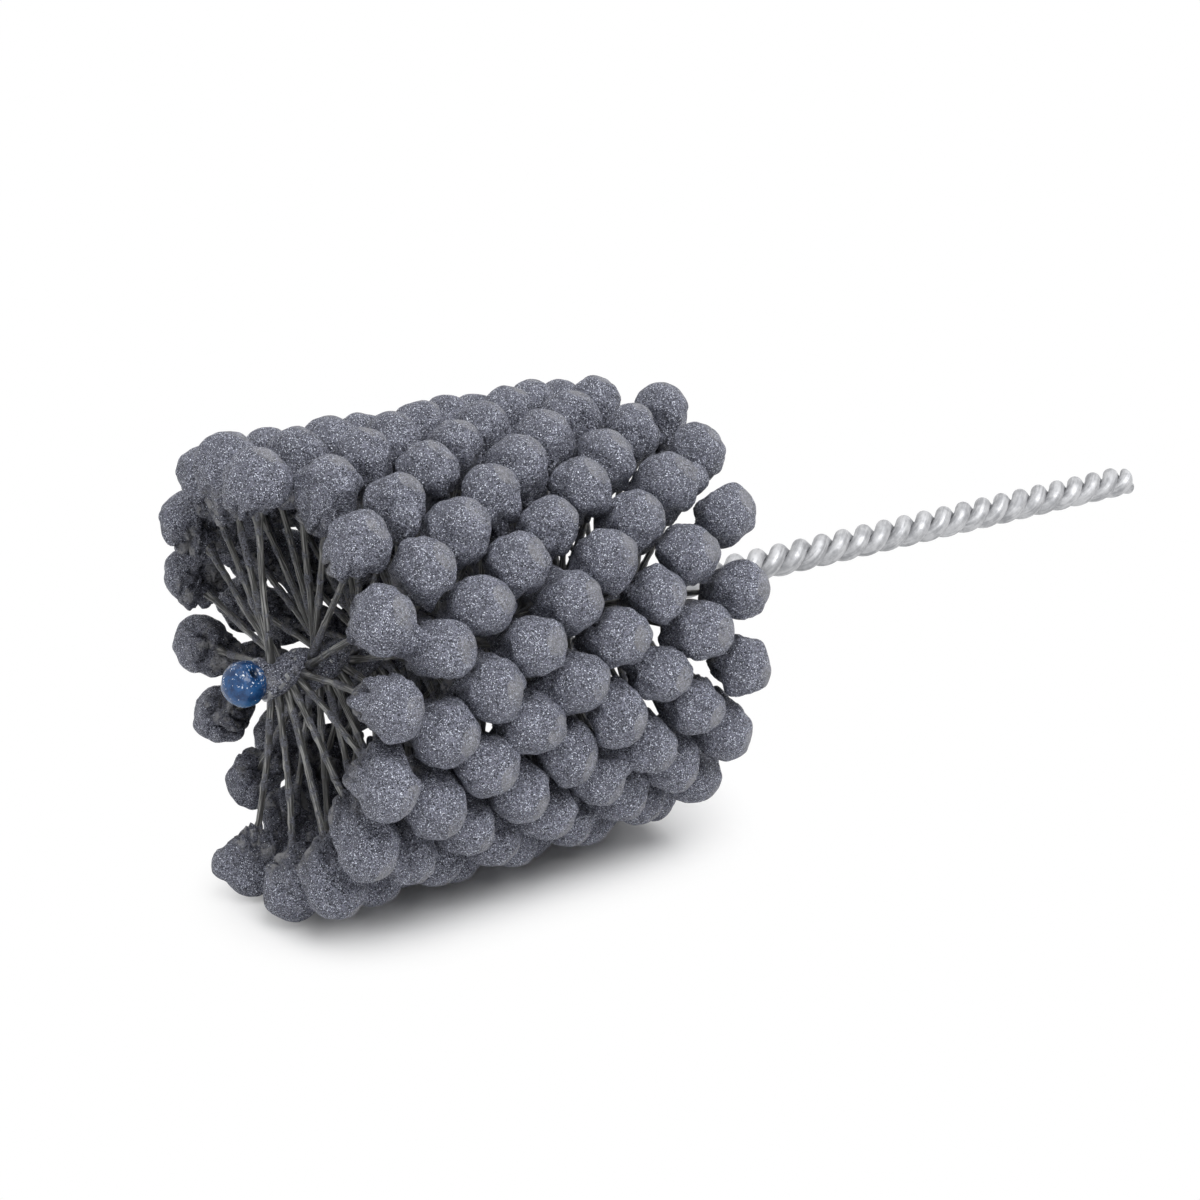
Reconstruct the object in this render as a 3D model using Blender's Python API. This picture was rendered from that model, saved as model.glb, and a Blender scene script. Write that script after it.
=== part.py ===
"""Flexible ball hone: a twisted-wire brush whose bristles carry an abrasive globule at each end.

The hone lies on its side with its axis along X, the coloured tip ball at -X and the cut ends of the
stem at +X. Z is up, and the lowest globules stand on Z = 0. Two steel wires are twisted into a core
and hold nylon filaments crosswise between them, so the filaments turn with the wires and their
globules follow a double helix. Behind the head the same two wires close up into the stem.
"""

import math
import random

import bmesh
import bpy
from mathutils import Vector

# Driving dimensions in metres
OVERALL_LENGTH = 0.2032
HEAD_DIAMETER = 0.0806
TIP_BALL_DIAMETER = 0.0073
TIP_BALL_FLAT_DIAMETER = 0.0052
TIP_TO_FIRST_FILAMENT = 0.0024
WIRE_DIAMETER = 0.0029
WIRE_END_STEP = 0.0015
GLOBULE_DIAMETER = 0.0094
GLOBULE_LENGTH = 0.0121
GLOBULE_SCATTER = 0.0007
FILAMENT_DIAMETER = 0.00125
PINCHED_WIDTH = 0.0007
LAY_CHANGE_LENGTH = 0.024
CORE_CLOSING_LENGTH = 0.004
FRONT_LEAN = 0.0032
REAR_LEAN = 0.0018

# Clearances in metres
GLOBULE_GAP = 0.0004
SEAT_CLEARANCE = 0.0003
ROOT_CLEARANCE = 0.00035

# Counts, ratios and angles in degrees
FILAMENT_PAIRS = 39
FILAMENTS_PER_HALF_TURN = 8.588
FIRST_FILAMENT_ANGLE = -87.0
STEM_LAY_IN_WIRES = 3.52
FRONT_WIND = 5.0
LEANING_FILAMENTS = 16
ROOT_OVERLAP = 0.3
SHOULDER_ANGLE = 52.0
SHOULDER_FULLNESS = 0.6
CROWN_ANGLE = 48.0
SCATTER_SEED = 4
FILAMENT_SIDES = 5
SHOULDER_SIDES = 6
GLOBULE_SIDES = 7
CROWN_SIDES = 5
WIRE_SIDES = 7
WIRE_STEPS_PER_TURN = 8
BALL_SEGMENTS = 16
BALL_RINGS = 10

# Sizes that follow from the driving dimensions
FILAMENT_COUNT = 2 * FILAMENT_PAIRS
STEP_ANGLE = 180.0 / FILAMENTS_PER_HALF_TURN
WIRE_RADIUS = WIRE_DIAMETER / 2
BALL_RADIUS = TIP_BALL_DIAMETER / 2
HEAD_CORE_RADIUS = PINCHED_WIDTH / 2 + SEAT_CLEARANCE + WIRE_RADIUS
STEM_CORE_RADIUS = SEAT_CLEARANCE / 2 + WIRE_RADIUS
STEM_LAY = STEM_LAY_IN_WIRES * WIRE_DIAMETER
ROUND_END_RADIUS = GLOBULE_DIAMETER / 2
GLOBULE_CENTRE = HEAD_DIAMETER / 2 - ROUND_END_RADIUS
FULL_FILAMENT_FROM = HEAD_CORE_RADIUS + WIRE_RADIUS + FILAMENT_DIAMETER / 2


def filament_spacing():
    """Return the spacing along the core at which a globule just clears those of the row before."""
    centres = GLOBULE_DIAMETER + GLOBULE_GAP
    needed = []
    for count in range(1, math.ceil(FILAMENTS_PER_HALF_TURN) + 1):
        turned = count * STEP_ANGLE
        offset = math.radians(turned - 180.0 * round(turned / 180.0))
        sideways = 2 * GLOBULE_CENTRE * math.sin(offset / 2)
        needed.append(math.sqrt(max(0.0, centres**2 - sideways**2)) / count)
    return max(needed)


SPACING = filament_spacing()
HEAD_LAY = SPACING * 360.0 / STEP_ANGLE
ROOT_THICKNESS = (2 * SPACING - ROOT_CLEARANCE) / (2 - ROOT_OVERLAP)
ROOT_SPACING = (1 - ROOT_OVERLAP) * ROOT_THICKNESS

TIP_X = -OVERALL_LENGTH / 2
STEM_END_X = OVERALL_LENGTH / 2
BALL_X = TIP_X + BALL_RADIUS
BALL_FLAT_X = BALL_X + math.sqrt(BALL_RADIUS**2 - (TIP_BALL_FLAT_DIAMETER / 2) ** 2)
WIRE_FRONT_X = BALL_FLAT_X + SEAT_CLEARANCE
FIRST_FILAMENT_X = BALL_FLAT_X + TIP_TO_FIRST_FILAMENT
LAST_FILAMENT_X = FIRST_FILAMENT_X + (FILAMENT_COUNT - 1) * SPACING


def make_material(name, colour, roughness, metallic):
    material = bpy.data.materials.new(name)
    material.use_nodes = True
    shader = material.node_tree.nodes["Principled BSDF"]
    shader.inputs["Base Color"].default_value = (*colour, 1.0)
    shader.inputs["Roughness"].default_value = roughness
    shader.inputs["Metallic"].default_value = metallic
    return material


def finish_object(name, mesh, material, parent):
    """Shade a mesh, and put it in the scene as a piece on the hone's axis."""
    mesh.name = name
    mesh.materials.clear()
    mesh.materials.append(material)
    mesh.shade_smooth()
    mesh.set_sharp_from_angle(angle=math.radians(50))
    piece = bpy.data.objects.new(name, mesh)
    bpy.context.collection.objects.link(piece)
    piece.parent = parent
    return piece


def bridge(bm, lower, upper):
    """Join two closed rings with triangles. The rings may have different numbers of points."""
    done_lower = 0
    done_upper = 0
    while done_lower < len(lower) or done_upper < len(upper):
        first = lower[done_lower % len(lower)]
        second = upper[done_upper % len(upper)]
        next_lower = (done_lower + 1) / len(lower)
        next_upper = (done_upper + 1) / len(upper)
        if next_lower <= next_upper:
            done_lower += 1
            bm.faces.new((first, lower[done_lower % len(lower)], second))
        else:
            done_upper += 1
            bm.faces.new((first, upper[done_upper % len(upper)], second))


def close_ring(bm, ring, pole):
    """Close a ring with a fan of triangles to a pole."""
    for index, vertex in enumerate(ring):
        bm.faces.new((vertex, ring[(index + 1) % len(ring)], pole))


def mesh_from(bm, name):
    bmesh.ops.recalc_face_normals(bm, faces=bm.faces)
    mesh = bpy.data.meshes.new(name)
    bm.to_mesh(mesh)
    bm.free()
    return mesh


# Filaments and their globules
def filament_angle(index):
    """Return the angle, about the axis from +Y, at which a filament lies between the wires."""
    return math.radians(FIRST_FILAMENT_ANGLE - index * STEP_ANGLE)


def filament_x(index):
    return FIRST_FILAMENT_X + index * SPACING


def root_x(index):
    """Return where a filament crosses the axis. The two of a pair lie closer than the spacing."""
    pair_centre = filament_x(2 * (index // 2) + 0.5)
    side = -0.5 if index % 2 == 0 else 0.5
    return pair_centre + side * ROOT_SPACING


def end_share(count_from_end):
    """Return 1 for the outermost filament, falling smoothly to 0 inside the head."""
    return max(0.0, 1 - count_from_end / LEANING_FILAMENTS) ** 2


def globule_profile(tip_radius):
    """Return (distance from axis, radius, sides) for a globule's rings, from neck to round end."""
    centre = tip_radius - ROUND_END_RADIUS
    inner_length = GLOBULE_LENGTH - ROUND_END_RADIUS
    shoulder = math.radians(SHOULDER_ANGLE)
    crown = math.radians(CROWN_ANGLE)
    shoulder_radius = ROUND_END_RADIUS * math.cos(shoulder) ** SHOULDER_FULLNESS
    return [
        (centre - inner_length * math.sin(shoulder), shoulder_radius, SHOULDER_SIDES),
        (centre, ROUND_END_RADIUS, GLOBULE_SIDES),
        (centre + ROUND_END_RADIUS * math.sin(crown), ROUND_END_RADIUS * math.cos(crown), CROWN_SIDES),
    ]


def filament_mesh(index, scatter):
    """Loft one filament through the core, from the round end of one globule to that of the other."""
    angle = filament_angle(index)
    share_front = end_share(index)
    share_rear = end_share(FILAMENT_COUNT - 1 - index)
    end_x = filament_x(index) - FRONT_LEAN * share_front + REAR_LEAN * share_rear
    wind = math.radians(FRONT_WIND) * share_front
    start_x = root_x(index)

    def centre_at(distance):
        """Return the centreline's point at a signed distance from the axis, and its radial way."""
        share = abs(distance) / GLOBULE_CENTRE
        turned = angle + wind * share
        outward = Vector((0, math.cos(turned), math.sin(turned)))
        x = start_x + (end_x - start_x) * share
        return Vector((x, 0, 0)) + distance * outward, outward

    def add_ring(distance, across, along, sides):
        centre, outward = centre_at(distance)
        sideways = outward.cross(Vector((1, 0, 0)))
        ring = []
        for side in range(sides):
            turn = 2 * math.pi * side / sides
            offset = across * math.cos(turn) * sideways + along * math.sin(turn) * Vector((1, 0, 0))
            ring.append(bm.verts.new(centre + offset))
        return ring

    def add_end(sign, tip_radius):
        """Add one half of the filament with its globule, from the core outwards."""
        filament_radius = FILAMENT_DIAMETER / 2
        rings = [add_ring(sign * FULL_FILAMENT_FROM, filament_radius, filament_radius, FILAMENT_SIDES)]
        neck = tip_radius - GLOBULE_LENGTH
        rings.append(add_ring(sign * neck, filament_radius, filament_radius, FILAMENT_SIDES))
        for distance, radius, sides in globule_profile(tip_radius):
            rings.append(add_ring(sign * distance, radius, radius, sides))
        previous = root
        for ring in rings:
            bridge(bm, previous, ring)
            previous = ring
        pole = bm.verts.new(centre_at(sign * tip_radius)[0])
        close_ring(bm, previous, pole)

    bm = bmesh.new()
    root = add_ring(0.0, PINCHED_WIDTH / 2, ROOT_THICKNESS / 2, FILAMENT_SIDES)
    for sign in (1, -1):
        add_end(sign, HEAD_DIAMETER / 2 - scatter.random() * GLOBULE_SCATTER)
    return mesh_from(bm, "filament")


def united(first, second):
    """Return the union of two meshes, for two filaments that the resin bonds where they cross."""
    kept = bpy.data.objects.new("kept", first)
    added = bpy.data.objects.new("added", second)
    for temporary in (kept, added):
        bpy.context.collection.objects.link(temporary)
    union = kept.modifiers.new("bond", "BOOLEAN")
    union.operation = "UNION"
    union.object = added
    evaluated = kept.evaluated_get(bpy.context.evaluated_depsgraph_get())
    mesh = bpy.data.meshes.new_from_object(evaluated)
    for temporary in (kept, added):
        bpy.data.objects.remove(temporary)
    return mesh


def make_filament_pairs(material, parent):
    scatter = random.Random(SCATTER_SEED)
    for pair in range(FILAMENT_PAIRS):
        first = filament_mesh(2 * pair, scatter)
        second = filament_mesh(2 * pair + 1, scatter)
        finish_object(f"filament_pair_{pair + 1:02d}", united(first, second), material, parent)


# Core wires
def wire_turn(x):
    """Return how far the wires have turned at x, in radians, measured back from the head."""
    head_rate = 2 * math.pi / HEAD_LAY
    stem_rate = 2 * math.pi / STEM_LAY
    behind_head = max(0.0, x - LAST_FILAMENT_X)
    changing = min(behind_head, LAY_CHANGE_LENGTH)
    settled = behind_head - changing
    extra = (stem_rate - head_rate) * (changing**2 / (2 * LAY_CHANGE_LENGTH) + settled)
    return math.radians(FIRST_FILAMENT_ANGLE) - head_rate * (x - FIRST_FILAMENT_X) - extra


def core_radius(x):
    """Return the distance of a wire's centreline from the axis, less where no filament parts them."""
    share = (x - LAST_FILAMENT_X - ROOT_THICKNESS) / CORE_CLOSING_LENGTH
    share = min(max(share, 0.0), 1.0)
    eased = share * share * (3 - 2 * share)
    return HEAD_CORE_RADIUS + (STEM_CORE_RADIUS - HEAD_CORE_RADIUS) * eased


def wire_point(x, side):
    angle = wire_turn(x) + side * math.pi / 2
    outward = Vector((0, math.cos(angle), math.sin(angle)))
    return Vector((x, 0, 0)) + core_radius(x) * outward, outward


def wire_stations(end_x):
    """Return x positions a fixed share of a turn apart, closer together where the lay is shorter."""
    step_angle = 2 * math.pi / WIRE_STEPS_PER_TURN
    stretches = [WIRE_FRONT_X, LAST_FILAMENT_X, LAST_FILAMENT_X + LAY_CHANGE_LENGTH, end_x]
    stations = [WIRE_FRONT_X]
    for start, stop in zip(stretches, stretches[1:]):
        turned = wire_turn(start) - wire_turn(stop)
        steps = max(1, round(turned / step_angle))
        for step in range(1, steps + 1):
            stations.append(start + (stop - start) * step / steps)
    return stations


def wire_mesh(side, end_x):
    """Loft a round wire along its helix, with both ends cut square to the hone's axis."""
    bm = bmesh.new()
    stations = wire_stations(end_x)
    rings = []
    nudge = WIRE_DIAMETER / 100
    for x in stations:
        centre, outward = wire_point(x, side)
        tangent = (wire_point(x + nudge, side)[0] - wire_point(x - nudge, side)[0]).normalized()
        across = tangent.cross(outward).normalized()
        upward = across.cross(tangent)
        ring = []
        for step in range(WIRE_SIDES):
            turn = 2 * math.pi * step / WIRE_SIDES
            point = centre + WIRE_RADIUS * (math.cos(turn) * upward + math.sin(turn) * across)
            if x in (stations[0], stations[-1]):
                point += tangent * ((x - point.x) / tangent.x)
            ring.append(bm.verts.new(point))
        rings.append(ring)
    for lower, upper in zip(rings, rings[1:]):
        bridge(bm, lower, upper)
    bm.faces.new(rings[0])
    bm.faces.new(rings[-1])
    return mesh_from(bm, "wire")


# Tip ball
def tip_ball_mesh():
    """Revolve a ball about the hone's axis, with a flat at the back where the wires end."""
    bm = bmesh.new()
    flat_angle = math.asin(TIP_BALL_FLAT_DIAMETER / TIP_BALL_DIAMETER)
    rings = []
    for step in range(1, BALL_RINGS + 1):
        polar = (math.pi - flat_angle) * step / BALL_RINGS
        ring = []
        for segment in range(BALL_SEGMENTS):
            turn = 2 * math.pi * segment / BALL_SEGMENTS
            radius = BALL_RADIUS * math.sin(polar)
            x = BALL_X - BALL_RADIUS * math.cos(polar)
            ring.append(bm.verts.new((x, radius * math.cos(turn), radius * math.sin(turn))))
        rings.append(ring)
    for lower, upper in zip(rings, rings[1:]):
        bridge(bm, lower, upper)
    close_ring(bm, rings[0], bm.verts.new((TIP_X, 0, 0)))
    bm.faces.new(rings[-1])
    return mesh_from(bm, "ball")


def stand_on_floor(axis):
    """Raise the hone's axis until the lowest globule stands on Z = 0."""
    lowest = min(vertex.co.z for piece in axis.children for vertex in piece.data.vertices)
    axis.location.z = -lowest


def main():
    for existing in list(bpy.data.objects):
        bpy.data.objects.remove(existing)
    axis = bpy.data.objects.new("hone_axis", None)
    bpy.context.collection.objects.link(axis)
    abrasive = make_material("abrasive", (0.075, 0.08, 0.095), 0.8, 0.0)
    steel = make_material("galvanised_steel", (0.56, 0.57, 0.6), 0.5, 0.85)
    blue = make_material("blue_resin", (0.02, 0.08, 0.21), 0.18, 0.0)
    make_filament_pairs(abrasive, axis)
    finish_object("core_wire_a", wire_mesh(1, STEM_END_X), steel, axis)
    finish_object("core_wire_b", wire_mesh(-1, STEM_END_X - WIRE_END_STEP), steel, axis)
    finish_object("tip_ball", tip_ball_mesh(), blue, axis)
    stand_on_floor(axis)


main()
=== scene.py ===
# %% [markdown]
# # Dressing a flexible ball hone
# A flexible ball hone is a bottle brush that carries an abrasive ball on each end of every bristle.
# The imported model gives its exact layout: two twisted core wires, a resin ball on the tip, and
# thirty-nine pairs of nylon filaments with four globules each. This lesson loads that model as a
# fixed frame, measures it, and builds the fine surface over it, one real piece at a time.

import math

import bmesh
import bpy
from mathutils import Matrix, Vector, noise


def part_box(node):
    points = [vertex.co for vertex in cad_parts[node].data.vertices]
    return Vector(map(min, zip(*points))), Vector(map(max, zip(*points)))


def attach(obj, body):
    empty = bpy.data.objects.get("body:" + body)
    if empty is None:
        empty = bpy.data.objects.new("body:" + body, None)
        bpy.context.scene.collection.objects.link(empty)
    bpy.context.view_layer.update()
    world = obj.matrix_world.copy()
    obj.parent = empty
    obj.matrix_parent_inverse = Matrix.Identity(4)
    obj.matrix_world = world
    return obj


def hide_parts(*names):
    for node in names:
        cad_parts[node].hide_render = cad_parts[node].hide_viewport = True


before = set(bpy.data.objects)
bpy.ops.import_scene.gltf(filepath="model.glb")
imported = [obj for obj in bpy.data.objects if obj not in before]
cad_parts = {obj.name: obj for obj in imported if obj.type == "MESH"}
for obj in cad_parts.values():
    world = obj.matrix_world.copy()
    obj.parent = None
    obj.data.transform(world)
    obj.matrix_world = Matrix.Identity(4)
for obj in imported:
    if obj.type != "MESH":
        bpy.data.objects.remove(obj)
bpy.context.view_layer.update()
print("nodes in the frame:", len(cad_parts))

# %% [markdown]
# ## The camera
# The camera stands in front of the tip and a little above it, so that the stem runs away to the
# right. Its place is written as a real position in metres. The picture's middle isn't the hone's
# middle, so the camera is turned by its own angles and not aimed at a part.

# %% Place the camera
CAMERA_PLACE = Vector((-0.23318, -0.29775, 0.17005))
CAMERA_AZIMUTH = math.radians(-34.33)
CAMERA_ELEVATION = math.radians(19.79)
CAMERA_LENS = 66.0
CAMERA_SENSOR = 36.0
CAMERA_NEAR = 0.01
CAMERA_FAR = 10.0


def camera_axes(azimuth, elevation):
    """Return the camera's right, up and back directions in the world."""
    level = math.cos(elevation)
    back = Vector((math.sin(azimuth) * level, -math.cos(azimuth) * level, math.sin(elevation)))
    right = Vector((math.cos(azimuth), math.sin(azimuth), 0))
    return right, back.cross(right), back


camera = bpy.data.objects.new("camera", bpy.data.cameras.new("camera"))
bpy.context.scene.collection.objects.link(camera)
camera.data.lens = CAMERA_LENS
camera.data.sensor_width = CAMERA_SENSOR
turned = Matrix(camera_axes(CAMERA_AZIMUTH, CAMERA_ELEVATION)).transposed()
camera.matrix_world = Matrix.Translation(CAMERA_PLACE) @ turned.to_4x4()
camera.data.clip_start = CAMERA_NEAR
camera.data.clip_end = CAMERA_FAR
bpy.context.scene.camera = camera
print("camera at", [round(value, 3) for value in CAMERA_PLACE])

# %% [markdown]
# ## Measuring the frame
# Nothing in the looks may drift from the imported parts, so their places are read from the nodes. The
# tip ball gives the height of the hone's axis. Each pair of filaments gives the x at which it
# crosses that axis, and the four points at which its globules end.

# %% Measure the axis and the tip ball
ball_low, ball_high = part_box("tip_ball")
BALL_RADIUS = (ball_high.z - ball_low.z) / 2
AXIS_HEIGHT = (ball_high.z + ball_low.z) / 2
BALL_CENTRE = Vector((ball_low.x + BALL_RADIUS, 0, AXIS_HEIGHT))
print(f"axis {AXIS_HEIGHT * 1000:.2f} mm up, tip ball {BALL_RADIUS * 2000:.2f} mm across")

# %% Measure the pairs of filaments
NEAR_AXIS = 0.001
TIP_ZONE = 0.0009
SAME_POINT_DIGITS = 5


def off_axis(point):
    return math.hypot(point.y, point.z)


def from_axis(node):
    """Return a node's vertices measured from the hone's axis."""
    lift = Vector((0, 0, AXIS_HEIGHT))
    return [vertex.co - lift for vertex in node.data.vertices]


pair_names = sorted(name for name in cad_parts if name.startswith("filament_pair_"))
pair_points = {name: from_axis(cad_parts[name]) for name in pair_names}
HEAD_RADIUS = max(off_axis(point) for points in pair_points.values() for point in points)


def crossing_x(points):
    """Return the middle of the place where a pair crosses the axis."""
    near = [point.x for point in points if off_axis(point) < NEAR_AXIS]
    return (min(near) + max(near)) / 2


def globule_tips(points):
    """Return the outermost points of a pair, one for each globule."""
    found = {}
    for point in points:
        if off_axis(point) > HEAD_RADIUS - TIP_ZONE:
            found[tuple(round(value, SAME_POINT_DIGITS) for value in point)] = point
    return list(found.values())


crossings = {name: crossing_x(pair_points[name]) for name in pair_names}
tips = {name: globule_tips(pair_points[name]) for name in pair_names}
PAIR_SPACING = (crossings[pair_names[-1]] - crossings[pair_names[0]]) / (len(pair_names) - 1)
globule_count = sum(len(found) for found in tips.values())
print("globules:", globule_count, "on a head", round(HEAD_RADIUS * 2000, 1), "mm across")

# %% [markdown]
# ## The lattice
# The filaments lie in the slit between the twisted wires, so each one is turned from the one before
# by the same angle, and the globules run round the head in a double helix. A filament's path starts
# at one globule's tip, passes through the core and ends at the other tip. The first and last rows
# lean outwards, so a path may turn and drift a little on its way out. Python works the paths out
# with a loop, and stores at each end the direction in which the globule points.

# %% Lay out the paths of the filaments
FILAMENTS_PER_HALF_TURN = 8.588
STEP_ANGLE = math.pi / FILAMENTS_PER_HALF_TURN
FIRST_ANGLE = math.radians(-87.0)
ROOT_SPACING = 0.0006066
PATH_STEPS = 10


def turned_from(angle, point):
    """Return how far a point is turned round the axis from an angle."""
    return math.remainder(math.atan2(point.z, point.y) - angle, 2 * math.pi)


def half_path(root_x, root_angle, tip):
    """Return points from the axis out to a tip, turning evenly on the way."""
    reach = off_axis(tip)
    turn = turned_from(root_angle, tip)
    points = []
    for step in range(PATH_STEPS + 1):
        share = step / PATH_STEPS
        angle = root_angle + turn * share
        outward = Vector((0, math.cos(angle), math.sin(angle)))
        on_axis = Vector((root_x + (tip.x - root_x) * share, 0, AXIS_HEIGHT))
        points.append(on_axis + reach * share * outward)
    return points


def nearest_tip(angle, candidates):
    return min(candidates, key=lambda tip: abs(turned_from(angle, tip)))


def filament_path(index, name):
    """Return the points of one filament from tip to tip."""
    root_x = crossings[name] + (index % 2 - 0.5) * ROOT_SPACING
    angle = FIRST_ANGLE - index * STEP_ANGLE
    ahead = half_path(root_x, angle, nearest_tip(angle, tips[name]))
    behind = half_path(root_x, angle + math.pi, nearest_tip(angle + math.pi, tips[name]))
    return ahead[::-1] + behind[1:]


def path_mesh(name, paths):
    """Return a mesh of edges along the paths, with the outward direction stored at each end."""
    mesh = bpy.data.meshes.new(name)
    points = []
    edges = []
    directions = []
    for path in paths:
        start = len(points)
        points += path
        edges += [(start + step, start + step + 1) for step in range(len(path) - 1)]
        directions += [path[0] - path[1]] + [Vector()] * (len(path) - 2) + [path[-1] - path[-2]]
    mesh.from_pydata(points, edges, [])
    outward = mesh.attributes.new("outward", "FLOAT_VECTOR", "POINT")
    outward.data.foreach_set("vector", [value for way in directions for value in way.normalized()])
    return mesh


pair_paths = {}
for pair, name in enumerate(pair_names):
    paths = [filament_path(2 * pair, name), filament_path(2 * pair + 1, name)]
    pair_paths[name] = path_mesh(name, paths)
print("paths laid out for", 2 * len(pair_paths), "filaments")

# %% [markdown]
# ## Small helpers for node trees
# A node tree is a formula drawn as boxes. These helpers add the boxes and feed them with numbers, or
# with the output of other boxes, so that a formula in the script reads almost like the real one.
# They serve the geometry trees and the materials alike.

# %% Define the node helpers


def feed(tree, socket, value):
    """Give an input socket a number, or the output of another node."""
    if isinstance(value, bpy.types.NodeSocket):
        tree.links.new(value, socket)
    else:
        socket.default_value = value


def add(tree, kind, inputs=None, **settings):
    """Add a node with its settings, and feed its inputs by name or by place."""
    node = tree.nodes.new(kind)
    for name, value in settings.items():
        setattr(node, name, value)
    for key, value in (inputs or {}).items():
        feed(tree, node.inputs[key], value)
    return node


def calc(tree, operation, *values):
    return add(tree, "ShaderNodeMath", dict(enumerate(values)), operation=operation).outputs[0]


def vector_calc(tree, operation, *values):
    return add(tree, "ShaderNodeVectorMath", dict(enumerate(values)), operation=operation).outputs[0]


def scaled(tree, vector, factor):
    node = add(tree, "ShaderNodeVectorMath", {0: vector, "Scale": factor}, operation="SCALE")
    return node.outputs[0]


def measured(tree, operation, first, second):
    """Return the number that two vectors give, such as their distance."""
    node = add(tree, "ShaderNodeVectorMath", {0: first, 1: second}, operation=operation)
    return node.outputs["Value"]


def split(tree, vector):
    return add(tree, "ShaderNodeSeparateXYZ", {0: vector}).outputs


def joined(tree, x, y, z):
    return add(tree, "ShaderNodeCombineXYZ", {0: x, 1: y, 2: z}).outputs[0]


def diagonal(tree, first, second):
    """Return the length across two lengths at right angles."""
    squares = calc(tree, "MULTIPLY_ADD", first, first, calc(tree, "MULTIPLY", second, second))
    return calc(tree, "SQRT", squares)


# %% [markdown]
# ## Ranges and noise
# Two formulas come back all the time. A range turns one number into another with a smooth change: it
# says where the change starts and stops, and may give the values before and after it. Noise gives
# each place a number that changes slowly from place to place, and makes patches, lumps and streaks.

# %% Define the ranges and the noise


def eased(tree, value, start, stop, low=0.0, high=1.0):
    """Return low before start and high after stop, with a smooth change between."""
    inputs = {"Value": value, "From Min": start, "From Max": stop, "To Min": low, "To Max": high}
    return add(tree, "ShaderNodeMapRange", inputs, interpolation_type="SMOOTHSTEP").outputs[0]


def noise_node(tree, vector, scale, detail, roughness=0.5):
    inputs = {"Vector": vector, "Scale": scale, "Detail": detail, "Roughness": roughness}
    return add(tree, "ShaderNodeTexNoise", inputs)


def noise_at(tree, vector, scale, detail=2.0, roughness=0.5):
    """Return a noise value from 0 to 1."""
    return noise_node(tree, vector, scale, detail, roughness).outputs["Fac"]


def swing_at(tree, vector, scale, detail, roughness=0.5):
    """Return a noise value from -1 to 1."""
    return calc(tree, "MULTIPLY_ADD", noise_at(tree, vector, scale, detail, roughness), 2.0, -1.0)


# %% [markdown]
# ## Helpers for geometry trees
# A geometry tree is a recipe that the modifier runs on an object. Its sizes are named inputs, so one
# recipe serves many pieces. When a piece is done, its result is turned into a plain mesh and the
# modifier goes, because the finished part must not depend on it. Of all that a recipe stores on the
# points, only the marks stay, because the materials read them.

# %% Define the geometry helpers


def new_tree(name, sizes):
    """Return a geometry tree with a named input for each size, its inputs and its result node."""
    tree = bpy.data.node_groups.new(name, "GeometryNodeTree")
    tree.is_modifier = True
    tree.interface.new_socket("Geometry", in_out="INPUT", socket_type="NodeSocketGeometry")
    for label, value in sizes.items():
        kind = "NodeSocketInt" if isinstance(value, int) else "NodeSocketFloat"
        socket = tree.interface.new_socket(label, in_out="INPUT", socket_type=kind)
        socket.default_value = value
    tree.interface.new_socket("Geometry", in_out="OUTPUT", socket_type="NodeSocketGeometry")
    return tree, tree.nodes.new("NodeGroupInput").outputs, tree.nodes.new("NodeGroupOutput")


def stored(tree, geometry, label, value):
    """Store a vector on each point under a label."""
    inputs = {"Geometry": geometry, "Name": label, "Value": value}
    node = add(tree, "GeometryNodeStoreNamedAttribute", inputs, data_type="FLOAT_VECTOR", domain="POINT")
    return node.outputs[0]


def named(tree, label):
    """Return the vector that is stored under a label."""
    inputs = {"Name": label}
    return add(tree, "GeometryNodeInputNamedAttribute", inputs, data_type="FLOAT_VECTOR").outputs[0]


def position_of(tree):
    return add(tree, "GeometryNodeInputPosition").outputs[0]


def moved(tree, geometry, position):
    return add(tree, "GeometryNodeSetPosition", {"Geometry": geometry, "Position": position}).outputs[0]


def finished(tree, geometry, material):
    """Shade a geometry smooth and give it its material."""
    smooth = add(tree, "GeometryNodeSetShadeSmooth", {"Geometry": geometry}).outputs[0]
    return add(tree, "GeometryNodeSetMaterial", {"Geometry": smooth, "Material": material}).outputs[0]


def made(name, start_mesh, tree, sizes):
    """Run a geometry tree on a mesh, and return the result as an object with a plain mesh."""
    piece = bpy.data.objects.new(name, start_mesh)
    bpy.context.scene.collection.objects.link(piece)
    modifier = piece.modifiers.new("shape", "NODES")
    modifier.node_group = tree
    for item in tree.interface.items_tree:
        if item.in_out == "INPUT" and item.name in sizes:
            modifier[item.identifier] = sizes[item.name]
    evaluated = piece.evaluated_get(bpy.context.evaluated_depsgraph_get())
    mesh = bpy.data.meshes.new_from_object(evaluated)
    piece.modifiers.clear()
    piece.data = mesh
    mesh.name = name
    for attribute in [item.name for item in mesh.attributes if item.data_type == "FLOAT_VECTOR"]:
        if attribute not in ("position", "marks"):
            mesh.attributes.remove(mesh.attributes[attribute])
    return piece


# %% [markdown]
# ## Helpers for materials
# A material is a node tree too. These helpers start one, mix two colours by a share, and turn a
# height into a bump. Grit shows on three finishes, so its grains are a helper as well. Voronoi cells
# make good grains, because each cell carries one random colour. It gives the grain its shade, and it
# also gives it a slope, through a height that rises evenly across the cell.

# %% Define the material helpers
GRAIN_SIZE = 0.00017
GRAIN_DARK = (0.008, 0.010, 0.017, 1)
GRAIN_PALE = (0.325, 0.337, 0.421, 1)


def new_material(name):
    """Return a material, its node tree and its shader."""
    material = bpy.data.materials.new(name)
    material.use_nodes = True
    return material, material.node_tree, material.node_tree.nodes["Principled BSDF"]


def object_place(tree):
    return add(tree, "ShaderNodeTexCoord").outputs["Object"]


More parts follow.
